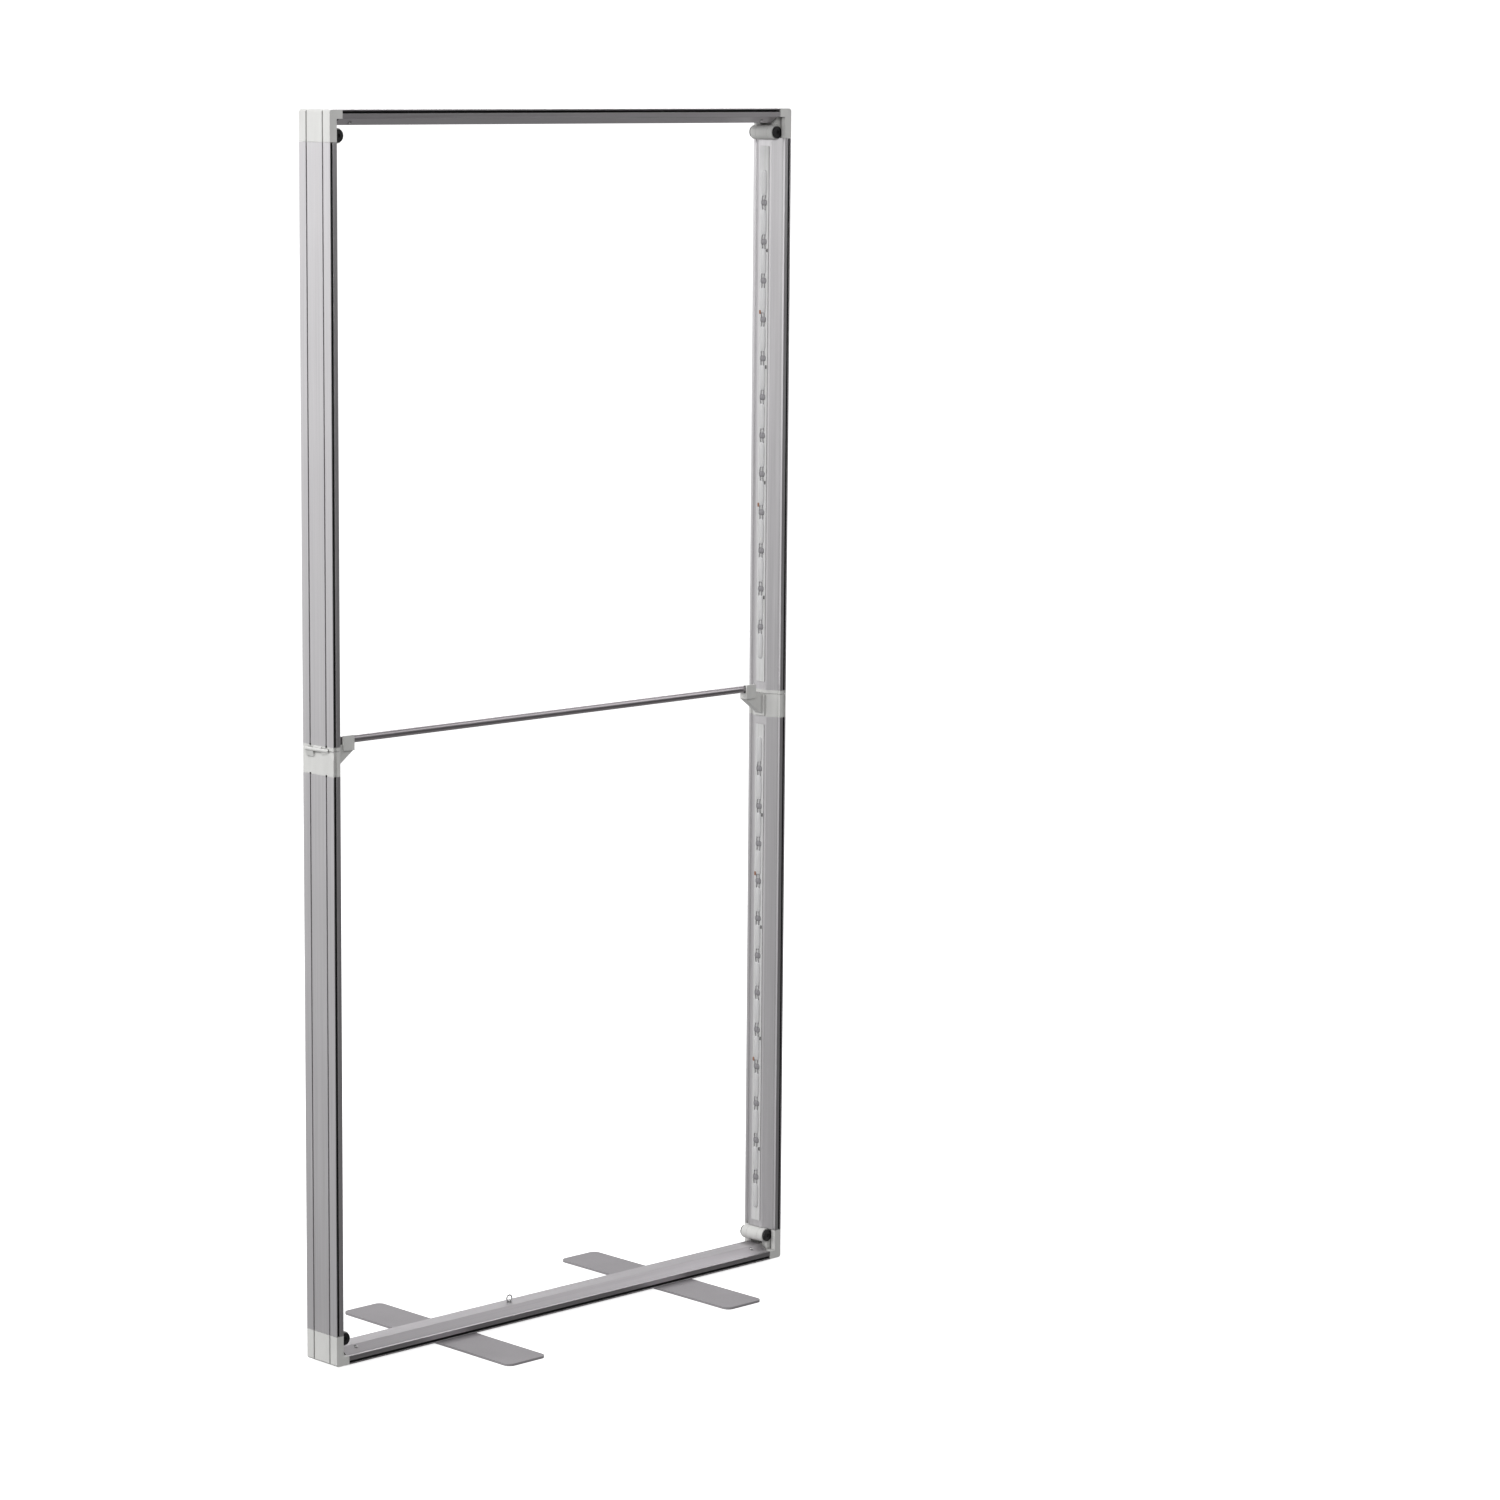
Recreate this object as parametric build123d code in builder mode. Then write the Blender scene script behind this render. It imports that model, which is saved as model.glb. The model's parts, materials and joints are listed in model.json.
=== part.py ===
from build123d import *

"""Folding lightbox display: a standing frame of four hinged post halves between a base rail and a top rail.

Millimetres, +Z up, X along the frame, Y to its back, origin on the floor under the middle of the frame.
Each corner has its own frame: local X runs inward from the outer face, local Z along the post to the middle.
"""

import os
from math import cos, floor, radians, sin

# Frame
frame_width = 1000.0
frame_height = 2000.0
rail_depth = 76.0

# Extrusion section, X inward from the outer face and Y along the depth
edge_thickness = 14.0
edge_land = 4.0
gutter_height = 12.0
gutter_half = 32.0
ridge_height = 24.0
ridge_half = 15.0
wall = 1.8
slope_wall = 2.25
groove_offset = 20.0
groove_width = 3.0
groove_depth = 2.0
lip_thickness = 2.0
slot_width = 4.0
slot_depth = 11.0
slot_flare = 0.8

# Fits
plug_clearance = 0.3
seat_gap = 0.3
pin_clearance = 0.05
open_pivot_clearance = 0.4
split_gap = 0.6
knuckle_clearance = 0.4

# Corner block and corner hinge
block_height = 50.0
block_length = 26.0
block_floor = 14.0
block_chamfer = 3.0
bay_half = 29.0
bay_wall = 8.0
spigot_length = 40.0
hinge_skew = 5.0
corner_pivot_in = 24.0
corner_pivot_up = 40.0
barrel_radius = 12.0
barrel_half = 12.0
ear_thickness = 11.5
ear_web_near = 2.0
ear_web_length = 10.0
neck_near = 4.0
neck_length = 9.0
bolt_radius = 3.0
bolt_head_radius = 10.0
bolt_head_height = 3.5
bolt_socket_radius = 3.4
bolt_socket_depth = 1.6
tongue_plug_length = 45.0

# Middle hinge
mid_pivot_out = 2.0
knuckle_radius = 3.0
mid_pin_radius = 1.5
knuckle_half = 9.0
hinge_half = 26.0
web_out = 0.8
web_in = 3.0
web_reach = 12.0
fold_limit = 84.0
relief_clearance = 0.4
lower_cap_height = 40.0
upper_cap_height = 6.0
mid_plug_length = 45.0
cap_slot_depth = 2.0

# Middle connector
connector_in = 12.5
connector_thickness = 12.0
connector_length = 34.0
connector_depth = 14.0
contact_count = 4
contact_pitch = 7.5
contact_width = 1.6
contact_length = 7.0
contact_depth = 5.0

# Light strip
board_width = 20.0
board_thickness = 1.2
board_margin = 14.0
lens_length = 44.0
lens_width = 12.0
lens_height = 2.8
lens_pitch = 66.0
lens_chamfer = 3.5

# Crossbar and its brackets
bar_radius = 6.0
bar_wall = 1.0
bar_above_split = 10.0
bar_end_in = 60.0
tip_end_in = 44.0
tip_thickness = 3.0
tip_plug_length = 20.0
bracket_plate = 3.0
bracket_half = 12.0
bracket_foot = 38.0
bracket_head_gap = 2.0
arm_half = 7.0
arm_end_in = 66.0
arm_rise_in = 32.0
arm_end_height = 10.0
stop_thickness = 3.5
stop_height = 14.0

# Feet
foot_length = 424.0
foot_width = 82.0
foot_thickness = 4.0
foot_radius = 12.0
foot_spacing = 490.0
foot_screw_radius = 3.0
foot_screw_head = 6.5
foot_screw_recess = 0.6
foot_screw_reach = 9.0

# Screws of the corner blocks and the middle caps
screw_radius = 1.6
screw_head_radius = 3.0
screw_head_height = 1.6
screw_reach = 6.0
corner_screw_in = 54.0
corner_screw_offset = 20.0
corner_screw_seat = 19.5
cap_screw_head_radius = 2.3

# Tie eyelet on the base rail
eyelet_x = -100.0
eyelet_ring = 5.5
eyelet_wire = 1.2
eyelet_collar_radius = 4.0
eyelet_collar_height = 1.5

# Driver and power inlet
driver_length = 130.0
driver_width = 32.0
driver_height = 14.0
driver_from_end = 150.0
inlet_radius = 5.5
inlet_up = 24.0
inlet_bore = 3.2
inlet_bore_depth = 6.0
inlet_pin = 1.0
inlet_recess = 0.5

# Worked out from the sizes above
half_depth = rail_depth / 2
half_width = frame_width / 2
half_height = frame_height / 2
base_level = foot_thickness + seat_gap
end_face = half_height - split_gap / 2
chamber_half = half_depth - slot_depth - wall - slot_flare
slope_rate = (ridge_height - gutter_height) / (gutter_half - ridge_half)
chamber_side = ridge_height - slope_rate * (chamber_half - ridge_half) - slope_wall
hinge_span = barrel_half + seat_gap + ear_thickness
scallop_radius = barrel_radius + knuckle_clearance
bar_level = half_height + bar_above_split
driver_x = half_width - driver_from_end

os.makedirs("parts", exist_ok=True)


def corner_frame(side, top):
    """Frame of a corner: side is -1 on the left and 1 on the right."""
    level = base_level + (frame_height if top else 0.0)
    return Plane(origin=(side * half_width, 0, level), x_dir=(-side, 0, 0), z_dir=(0, 0, -1 if top else 1))


def local_plane(frame, origin, x_dir, z_dir):
    """Plane given by an origin and directions in a corner's frame."""
    start = frame.from_local_coords(Vector(0, 0, 0))
    x_way = frame.from_local_coords(Vector(*x_dir)) - start
    z_way = frame.from_local_coords(Vector(*z_dir)) - start
    return Plane(origin=frame.from_local_coords(Vector(*origin)), x_dir=x_way, z_dir=z_way)


def hinge_plane(frame, skew, inward, up):
    """Plane square to a hinge line: X runs inward, Y back to the corner, Z along the hinge."""
    turn = radians(hinge_skew) * skew
    return local_plane(frame, (inward, 0, up), (cos(turn), sin(turn), 0), (-sin(turn), cos(turn), 0))


def side_plane(frame):
    """Plane with X inward and Y along the post, seen square to the depth."""
    return local_plane(frame, (0, 0, 0), (1, 0, 0), (0, -1, 0))


def cross_rail_plane(frame, inward):
    """Section plane of the base or top rail, its X running in from the outer face."""
    return local_plane(frame, (inward, 0, 0), (0, 0, 1), (1, 0, 0))


def post_section_plane(frame, up):
    return local_plane(frame, (0, 0, up), (1, 0, 0), (0, 0, 1))


def outline():
    """Closed outline of the extrusion, without its grooves and slots."""
    with BuildLine() as profile:
        Polyline(
            (0, 0),
            (0, half_depth),
            (edge_thickness, half_depth),
            (edge_thickness, half_depth - edge_land),
            (gutter_height, gutter_half),
            (ridge_height, ridge_half),
            (ridge_height, 0),
        )
        mirror(about=Plane.XZ)
    make_face(profile.edges())


def chamber(clearance):
    """Hollow of the extrusion, or the plug that fits it when a clearance is given."""
    floor_level = wall + groove_depth + clearance
    side = chamber_half - clearance
    slope_foot = chamber_side - clearance
    roof = ridge_height - wall - clearance
    with BuildLine() as profile:
        Polyline(
            (floor_level, 0),
            (floor_level, side),
            (slope_foot, side),
            (roof, ridge_half - clearance),
            (roof, 0),
        )
        mirror(about=Plane.XZ)
    make_face(profile.edges(), mode=Mode.ADD if clearance else Mode.SUBTRACT)


def groove_cuts():
    with Locations((groove_depth / 2, groove_offset), (groove_depth / 2, -groove_offset)):
        Rectangle(groove_depth, groove_width, mode=Mode.SUBTRACT)


def slot_cuts(depth):
    """Graphic slots in the two narrow faces, flared at the mouth."""
    middle = lip_thickness + slot_width / 2
    with Locations((middle, half_depth - depth / 2), (middle, depth / 2 - half_depth)):
        Rectangle(slot_width, depth, mode=Mode.SUBTRACT)
    with Locations((middle, half_depth - slot_flare / 2), (middle, slot_flare / 2 - half_depth)):
        Rectangle(slot_width + 2 * slot_flare, slot_flare, mode=Mode.SUBTRACT)


def rail_section():
    outline()
    groove_cuts()
    slot_cuts(slot_depth)
    chamber(0)


def save(builder, label):
    builder.part.label = label
    export_step(builder.part, f"parts/{label}.step")


def make_cross_rail(name, frame, foot_holes):
    """Base or top rail between its two corner blocks."""
    length = frame_width - 2 * block_length
    middle = half_width
    with BuildPart() as rail:
        with BuildSketch(cross_rail_plane(frame, block_length)):
            rail_section()
        extrude(amount=length)
        for inward in (corner_screw_in, frame_width - corner_screw_in):
            seat = local_plane(frame, (inward, 0, corner_screw_seat), (1, 0, 0), (0, 0, 1))
            with BuildSketch(seat):
                with GridLocations(0, 2 * corner_screw_offset, 1, 2):
                    Circle(screw_head_radius + plug_clearance)
            extrude(amount=ridge_height - corner_screw_seat + wall, mode=Mode.SUBTRACT)
            with BuildSketch(seat):
                with GridLocations(0, 2 * corner_screw_offset, 1, 2):
                    Circle(screw_radius + pin_clearance)
            extrude(amount=-screw_reach, mode=Mode.SUBTRACT)
        if foot_holes:
            with BuildSketch(local_plane(frame, (middle, 0, 0), (1, 0, 0), (0, 0, 1))):
                with GridLocations(foot_spacing, 0, 2, 1):
                    Circle(foot_screw_radius + pin_clearance)
            extrude(amount=foot_screw_reach, mode=Mode.SUBTRACT)
    save(rail, name)


def make_corner_block(name, frame, skew, inlet):
    """White moulded corner: outer wall, floor, hinge ears and the spigot that plugs into the rail."""
    hinge = hinge_plane(frame, skew, corner_pivot_in, corner_pivot_up)
    with BuildPart() as block:
        with BuildSketch(side_plane(frame)):
            with BuildLine():
                Polyline(
                    (block_chamfer, 0),
                    (block_length - seat_gap, 0),
                    (block_length - seat_gap, block_floor),
                    (edge_thickness, block_floor),
                    (edge_thickness, block_height - seat_gap),
                    (0, block_height - seat_gap),
                    (0, block_chamfer),
                    close=True,
                )
            make_face()
        extrude(amount=half_depth, both=True)
        with BuildSketch(local_plane(frame, (0, 0, block_floor), (1, 0, 0), (0, 0, 1))):
            with Locations(((bay_wall + edge_thickness) / 2, 0)):
                Rectangle(edge_thickness - bay_wall, 2 * bay_half)
        extrude(amount=block_height, mode=Mode.SUBTRACT)
        with BuildSketch(local_plane(frame, (0, 0, 0), (1, 0, 0), (0, 0, 1))):
            with Locations((groove_depth / 2, groove_offset), (groove_depth / 2, -groove_offset)):
                Rectangle(groove_depth, groove_width)
        extrude(amount=block_height, mode=Mode.SUBTRACT)
        for start in (-hinge_span, hinge_span - ear_thickness):
            with BuildSketch(hinge.offset(start)):
                Circle(barrel_radius)
                with Locations((-ear_web_near - ear_web_length / 2, (corner_pivot_up - block_floor) / 2)):
                    Rectangle(ear_web_length, corner_pivot_up - block_floor + 2 * wall)
            extrude(amount=ear_thickness)
        with BuildSketch(hinge):
            Circle(bolt_radius + pin_clearance)
        extrude(amount=hinge_span + seat_gap, both=True, mode=Mode.SUBTRACT)
        with BuildSketch(cross_rail_plane(frame, block_length - wall)):
            chamber(plug_clearance)
        extrude(amount=spigot_length + wall)
        seat = local_plane(frame, (corner_screw_in, 0, corner_screw_seat), (1, 0, 0), (0, 0, 1))
        with BuildSketch(seat):
            with GridLocations(0, 2 * corner_screw_offset, 1, 2):
                Circle(screw_radius + pin_clearance)
        extrude(amount=-screw_reach, mode=Mode.SUBTRACT)
        with BuildSketch(seat):
            with GridLocations(0, 2 * corner_screw_offset, 1, 2):
                Circle(screw_head_radius + plug_clearance)
        extrude(amount=ridge_height - corner_screw_seat, mode=Mode.SUBTRACT)
        if inlet:
            with BuildSketch(local_plane(frame, (0, 0, inlet_up), (0, 1, 0), (1, 0, 0))):
                Circle(inlet_radius)
            extrude(amount=bay_wall, mode=Mode.SUBTRACT)
    save(block, name)


def make_hinge_bolts(name, frames):
    """Corner hinge bolts, a socket head at each end."""
    with BuildPart() as bolts:
        for frame, skew in frames:
            hinge = hinge_plane(frame, skew, corner_pivot_in, corner_pivot_up)
            with BuildSketch(hinge):
                Circle(bolt_radius)
            extrude(amount=hinge_span + bolt_head_height, both=True)
            for start in (-hinge_span - bolt_head_height, hinge_span):
                with BuildSketch(hinge.offset(start)):
                    Circle(bolt_head_radius)
                extrude(amount=bolt_head_height)
            for start in (-hinge_span - bolt_head_height, hinge_span + bolt_head_height - bolt_socket_depth):
                with BuildSketch(hinge.offset(start)):
                    RegularPolygon(bolt_socket_radius, 6)
                extrude(amount=bolt_socket_depth, mode=Mode.SUBTRACT)
    save(bolts, name)


def make_corner_screws(name, frames):
    with BuildPart() as screws:
        for frame in frames:
            seat = local_plane(frame, (corner_screw_in, 0, corner_screw_seat), (1, 0, 0), (0, 0, 1))
            with BuildSketch(seat):
                with GridLocations(0, 2 * corner_screw_offset, 1, 2):
                    Circle(screw_radius)
            extrude(amount=-screw_reach)
            with BuildSketch(seat):
                with GridLocations(0, 2 * corner_screw_offset, 1, 2):
                    Circle(screw_head_radius)
            extrude(amount=screw_head_height)
    save(screws, name)


def make_post_rail(name, frame, skew, cap_height):
    """One half post: the extrusion, scalloped at the corner hinge."""
    hinge = hinge_plane(frame, skew, corner_pivot_in, corner_pivot_up)
    with BuildPart() as rail:
        with BuildSketch(post_section_plane(frame, block_height)):
            rail_section()
        extrude(amount=end_face - cap_height - block_height)
        with BuildSketch(hinge):
            Circle(scallop_radius)
        extrude(amount=hinge_span + seat_gap, both=True, mode=Mode.SUBTRACT)
        with BuildSketch(local_plane(frame, (0, 0, end_face - cap_height), (0, 1, 0), (1, 0, 0))):
            with Locations((groove_offset, 0), (-groove_offset, 0)):
                Circle(cap_screw_head_radius + pin_clearance)
        extrude(amount=wall + groove_depth, mode=Mode.SUBTRACT)
    save(rail, name)


def make_tongue(name, frame, skew, clearance):
    """Hinge tongue: a plug in the post's chamber, a neck and the barrel between the block's ears."""
    hinge = hinge_plane(frame, skew, corner_pivot_in, corner_pivot_up)
    rise = block_height - corner_pivot_up
    with BuildPart() as tongue:
        with BuildSketch(post_section_plane(frame, block_height + knuckle_clearance)):
            chamber(plug_clearance)
        extrude(amount=tongue_plug_length)
        with BuildSketch(hinge):
            Circle(scallop_radius)
        extrude(amount=hinge_span + seat_gap, both=True, mode=Mode.SUBTRACT)
        with BuildSketch(hinge):
            Circle(barrel_radius)
            with Locations((-neck_near - neck_length / 2, -rise)):
                Rectangle(neck_length, 2 * rise)
        extrude(amount=barrel_half, both=True)
        with BuildSketch(hinge):
            Circle(bolt_radius + clearance)
        extrude(amount=barrel_half + seat_gap, both=True, mode=Mode.SUBTRACT)
    save(tongue, name)


def turned(plane, hinge, degrees):
    """The plane after a turn about the hinge line."""
    turn = hinge.location * Location((0, 0, 0), (0, 0, degrees)) * hinge.location.inverse()
    return Plane(turn * plane.location)


def knuckle_web(reach):
    """Web that ties a knuckle to its cap."""
    with BuildLine() as profile:
        Polyline(
            (-web_out, 0),
            (-web_out, knuckle_radius + wall / 2),
            (mid_pivot_out, reach),
            (mid_pivot_out + web_in, reach),
            (mid_pivot_out + web_in, split_gap / 2),
            (0, split_gap / 2),
            (0, 0),
            close=True,
        )
    make_face(profile.edges())


def make_mid_cap(name, frame, skew, cap_height, outer_pair):
    """Middle end cap: a band flush with the rail, its plug, hinge knuckles and connector pocket."""
    hinge = hinge_plane(frame, skew, -mid_pivot_out, half_height)
    outer = [(-hinge_half, -knuckle_half - seat_gap), (knuckle_half + seat_gap, hinge_half)]
    inner = [(-knuckle_half, knuckle_half)]
    own = outer if outer_pair else inner
    other = inner if outer_pair else outer
    reach = min(web_reach, cap_height - seat_gap)
    with BuildPart() as cap:
        with BuildSketch(post_section_plane(frame, end_face - cap_height)):
            outline()
            slot_cuts(cap_slot_depth)
        extrude(amount=cap_height)
        with BuildSketch(post_section_plane(frame, end_face - cap_height)):
            chamber(plug_clearance)
        extrude(amount=-mid_plug_length)
        with BuildSketch(post_section_plane(frame, end_face)):
            with Locations((connector_in, 0)):
                Rectangle(connector_thickness, connector_length)
        extrude(amount=-connector_depth, mode=Mode.SUBTRACT)
        for start, end in own:
            with BuildSketch(hinge.offset(start)):
                knuckle_web(reach)
            extrude(amount=end - start)
        if outer_pair:
            facing = local_plane(frame, (-relief_clearance, 0, half_height), (0, 1, 0), (1, 0, 0))
            swung = turned(facing, hinge, -2 * fold_limit)
            with BuildSketch(swung):
                with Locations((0, half_depth)):
                    Rectangle(2 * rail_depth, rail_depth)
            extrude(amount=ridge_height, mode=Mode.SUBTRACT)
        for start, end in other:
            with BuildSketch(hinge.offset(start - seat_gap)):
                Circle(knuckle_radius + knuckle_clearance)
            extrude(amount=end - start + 2 * seat_gap, mode=Mode.SUBTRACT)
        for start, end in own:
            with BuildSketch(hinge.offset(start)):
                Circle(knuckle_radius)
            extrude(amount=end - start)
        with BuildSketch(hinge):
            Circle(mid_pin_radius + pin_clearance)
        extrude(amount=hinge_half + seat_gap, both=True, mode=Mode.SUBTRACT)
        with BuildSketch(local_plane(frame, (0, 0, end_face - cap_height), (0, 1, 0), (1, 0, 0))):
            with Locations((groove_offset, 0), (-groove_offset, 0)):
                Circle(cap_screw_head_radius + pin_clearance)
        extrude(amount=wall + groove_depth, mode=Mode.SUBTRACT)
        with BuildSketch(local_plane(frame, (0, 0, end_face - cap_height), (0, 1, 0), (1, 0, 0))):
            with Locations((groove_offset, 0), (-groove_offset, 0)):
                Circle(screw_radius + pin_clearance)
        extrude(amount=wall + groove_depth + screw_reach, mode=Mode.SUBTRACT)
    save(cap, name)


def make_cap_screws(name, frame, cap_height):
    """Two screws at the foot of the cap, sunk in the line of the grooves."""
    seat = local_plane(frame, (groove_depth, 0, end_face - cap_height), (0, 1, 0), (1, 0, 0))
    with BuildPart() as screws:
        with BuildSketch(seat):
            with Locations((groove_offset, 0), (-groove_offset, 0)):
                Circle(cap_screw_head_radius)
        extrude(amount=wall)
        with BuildSketch(seat):
            with Locations((groove_offset, 0), (-groove_offset, 0)):
                Circle(screw_radius)
        extrude(amount=wall + screw_reach)
    save(screws, name)


def make_mid_pin(name, frame, skew):
    with BuildPart() as pin:
        with BuildSketch(hinge_plane(frame, skew, -mid_pivot_out, half_height)):
            Circle(mid_pin_radius)
        extrude(amount=hinge_half, both=True)
    save(pin, name)


def make_connector(name, frame):
    """Four-pole contact block, flush with the cap's end face."""
    with BuildPart() as connector:
        with BuildSketch(post_section_plane(frame, end_face)):
            with Locations((connector_in, 0)):
                Rectangle(connector_thickness - plug_clearance, connector_length - plug_clearance)
        extrude(amount=-connector_depth)
        with BuildSketch(post_section_plane(frame, end_face)):
            with Locations((connector_in, 0)):
                with GridLocations(0, contact_pitch, 1, contact_count):
                    Rectangle(contact_length, contact_width)
        extrude(amount=-contact_depth, mode=Mode.SUBTRACT)
    save(connector, name)


def board_span(cap_height):
    start = block_height + board_margin
    return start, end_face - cap_height - board_margin


def make_led_board(name, frame, cap_height):
    start, end = board_span(cap_height)
    with BuildPart() as board:
        with BuildSketch(local_plane(frame, (ridge_height, 0, (start + end) / 2), (0, 0, 1), (1, 0, 0))):
            Rectangle(end - start, board_width)
        extrude(amount=board_thickness)
    save(board, name)


def make_led_lenses(name, frame, cap_height):
    """Row of edge-light lenses along the board."""
    start, end = board_span(cap_height)
    count = floor((end - start) / lens_pitch)
    face = local_plane(frame, (ridge_height + board_thickness, 0, (start + end) / 2), (0, 0, 1), (1, 0, 0))
    with BuildPart() as lenses:
        with BuildSketch(face):
            with GridLocations(lens_pitch, 0, count, 1):
                Rectangle(lens_length, lens_width)
        extrude(amount=lens_height)
        chamfer(lenses.edges().filter_by(Axis.X), length=lens_chamfer)
    save(lenses, name)


def make_bracket(name, frame, front):
    """Shelf for the crossbar's end: a plate on the ridge, a tapering arm and a stop at its front."""
    foot_level = end_face - bracket_foot
    shelf = bar_level - bar_radius - seat_gap
    with BuildPart() as bracket:
        with BuildSketch(local_plane(frame, (ridge_height, 0, foot_level), (0, 1, 0), (1, 0, 0))):
            with Locations((0, (bracket_foot - bracket_head_gap) / 2)):
                Rectangle(2 * bracket_half, bracket_foot - bracket_head_gap)
        extrude(amount=bracket_plate)
        with BuildSketch(side_plane(frame)):
            with BuildLine():
                Polyline(
                    (ridge_height, foot_level + bracket_plate),
                    (ridge_height + bracket_plate, foot_level + bracket_plate),
                    (arm_end_in, shelf - arm_end_height),
                    (arm_end_in, shelf),
                    (arm_rise_in, shelf),
                    (arm_rise_in, end_face - bracket_head_gap),
                    (ridge_height, end_face - bracket_head_gap),
                    close=True,
                )
            make_face()
        extrude(amount=arm_half, both=True)
        middle = front * (bar_radius + seat_gap + stop_thickness / 2)
        stop_middle = (tip_end_in + arm_end_in) / 2
        with BuildSketch(local_plane(frame, (stop_middle, middle, shelf - arm_end_height), (1, 0, 0), (0, 0, 1))):
            Rectangle(arm_end_in - tip_end_in, stop_thickness)
        extrude(amount=arm_end_height + stop_height)
    save(bracket, name)


def make_crossbar(frame):
    """Round bar that locks the posts apart, with flat tips that rest on the brackets."""
    start = local_plane(frame, (bar_end_in, 0, bar_level), (0, 0, 1), (1, 0, 0))
    with BuildPart() as bar:
        with BuildSketch(start):
            Circle(bar_radius)
            Circle(bar_radius - bar_wall, mode=Mode.SUBTRACT)
        extrude(amount=frame_width - 2 * bar_end_in)
    save(bar, "crossbar_tube")
    with BuildPart() as tips:
        for side in (-1, 1):
            end = corner_frame(side, False)
            with BuildSketch(local_plane(end, (bar_end_in, 0, bar_level), (0, 0, 1), (1, 0, 0))):
                Circle(bar_radius - bar_wall)
            extrude(amount=tip_plug_length)
            with BuildSketch(local_plane(end, (tip_end_in, 0, bar_level), (0, 0, 1), (1, 0, 0))):
                Rectangle(2 * bar_radius, tip_thickness)
            extrude(amount=bar_end_in - tip_end_in)
    save(tips, "crossbar_tips")


def make_foot(name, side):
    """Flat steel foot plate with a countersunk pivot hole."""
    middle = side * foot_spacing / 2
    with BuildPart() as foot:
        with BuildSketch(Plane(origin=(middle, 0, 0))):
            RectangleRounded(foot_width, foot_length, foot_radius)
        extrude(amount=foot_thickness)
        with BuildSketch(Plane(origin=(middle, 0, 0))):
            Circle(foot_screw_radius + pin_clearance)
        extrude(amount=foot_thickness, mode=Mode.SUBTRACT)
        with BuildSketch(Plane(origin=(middle, 0, 0))):
            Circle(foot_screw_head + pin_clearance)
        extrude(amount=foot_thickness / 2, mode=Mode.SUBTRACT)
    save(foot, name)


def make_foot_screws():
    with BuildPart() as screws:
        with BuildSketch(Plane.XY.offset(foot_screw_recess)):
            with GridLocations(foot_spacing, 0, 2, 1):
                Circle(foot_screw_head)
        extrude(amount=foot_thickness / 2 - foot_screw_recess - seat_gap)
        with BuildSketch(Plane.XY.offset(foot_screw_recess)):
            with GridLocations(foot_spacing, 0, 2, 1):
                Circle(foot_screw_radius)
        extrude(amount=base_level + foot_screw_reach - foot_screw_recess)
    save(screws, "foot_screws")


def make_eyelet():
    """Ring that a tie or hook goes through, on a collar on the base rail's ridge."""
    level = base_level + ridge_height
    centre = level + eyelet_collar_height + eyelet_ring
    with BuildPart() as eyelet:
        with BuildSketch(Plane(origin=(eyelet_x, 0, level))):
            Circle(eyelet_collar_radius)
        extrude(amount=eyelet_collar_height)
        ring_start = Plane(origin=(eyelet_x + eyelet_ring, 0, centre), x_dir=(1, 0, 0), z_dir=(0, 0, 1))
        with BuildSketch(ring_start):
            Circle(eyelet_wire)
        revolve(axis=Axis((eyelet_x, 0, centre), (0, 1, 0)))
    save(eyelet, "tie_eyelet")


def make_driver():
    with BuildPart() as driver:
        with BuildSketch(Plane(origin=(driver_x, 0, base_level + wall + groove_depth))):
            Rectangle(driver_length, driver_width)
        extrude(amount=driver_height)
    save(driver, "led_driver")


def make_inlet(frame):
    """Low-voltage socket in the outer wall of the right-hand base corner."""
    with BuildPart() as inlet:
        with BuildSketch(local_plane(frame, (inlet_recess, 0, inlet_up), (0, 1, 0), (1, 0, 0))):
            Circle(inlet_radius)
            Circle(inlet_bore, mode=Mode.SUBTRACT)
        extrude(amount=inlet_bore_depth)
        with BuildSketch(local_plane(frame, (inlet_recess, 0, inlet_up), (0, 1, 0), (1, 0, 0))):
            Circle(inlet_pin)
        extrude(amount=inlet_bore_depth)
        with BuildSketch(local_plane(frame, (inlet_recess + inlet_bore_depth, 0, inlet_up), (0, 1, 0), (1, 0, 0))):
            Circle(inlet_radius)
        extrude(amount=bay_wall - inlet_bore_depth)
    save(inlet, "power_inlet")


def make_half_post(name, side, top, clearance):
    """Everything that moves with one half post."""
    frame = corner_frame(side, top)
    skew = -1 if top else 1
    cap_height = upper_cap_height if top else lower_cap_height
    make_post_rail(f"{name}_rail", frame, skew, cap_height)
    make_tongue(f"{name}_tongue", frame, skew, clearance)
    make_mid_cap(f"{name}_mid_cap", frame, skew, cap_height, not top)
    make_cap_screws(f"{name}_cap_screws", frame, cap_height)
    make_connector(f"{name}_connector", frame)
    make_led_board(f"{name}_led_board", frame, cap_height)
    make_led_lenses(f"{name}_led_lenses", frame, cap_height)
    if not top:
        make_mid_pin(f"{name}_mid_pin", frame, skew)
        make_bracket(f"{name}_bar_bracket", frame, side)


def make_corner_set(prefix, top):
    """Base or top rail with its corner blocks, bolts and screws."""
    skew = -1 if top else 1
    left = corner_frame(-1, top)
    right = corner_frame(1, top)
    make_cross_rail(f"{prefix}_rail", left, not top)
    make_corner_block(f"{prefix}_left_corner", left, skew, False)
    make_corner_block(f"{prefix}_right_corner", right, skew, not top)
    make_hinge_bolts(f"{prefix}_hinge_bolts", [(left, skew), (right, skew)])
    make_corner_screws(f"{prefix}_corner_screws", [left, right])


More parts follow.
